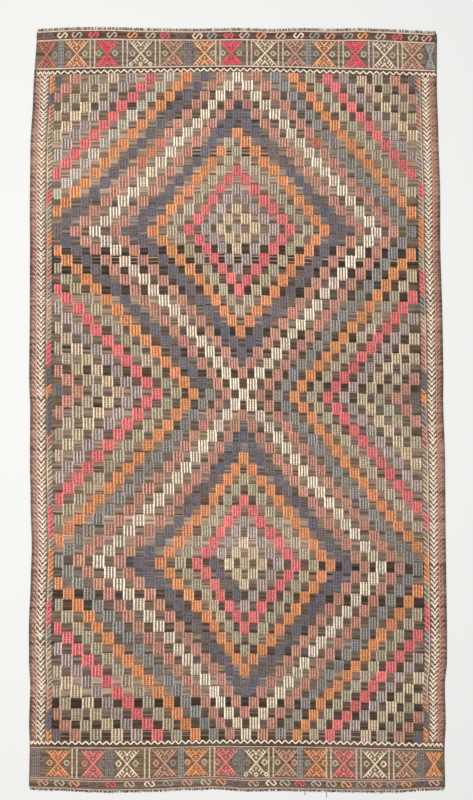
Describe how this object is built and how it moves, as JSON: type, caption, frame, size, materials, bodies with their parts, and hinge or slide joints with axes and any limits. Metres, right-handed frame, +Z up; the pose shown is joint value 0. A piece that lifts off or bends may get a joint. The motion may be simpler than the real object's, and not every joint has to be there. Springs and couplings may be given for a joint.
{
  "type": "kilim rug",
  "caption": "Flat-woven wool kilim rug with a stepped diamond field, patterned end bands, chevron side borders and short cut warp fringes, laid flat.",
  "frame": {"origin": "middle of the rug, on the surface it rests on", "axes": "+X across the rug to the right as pictured, +Y along the rug to its head end, +Z up out of the patterned face"},
  "size_m": [1.696, 3.1312, 0.004],
  "materials": {
    "kilim_wool": "hand-spun wool, brocaded ribs in muted reds, oranges, creams, greens and slates on a brown and olive weft",
    "warp_ends": "cut wool warp ends in dark brown and cream"
  },
  "bodies": {
    "root": {"kilim": "kilim_wool", "fringe_head": "warp_ends", "fringe_foot": "warp_ends"}
  },
  "joints": []
}
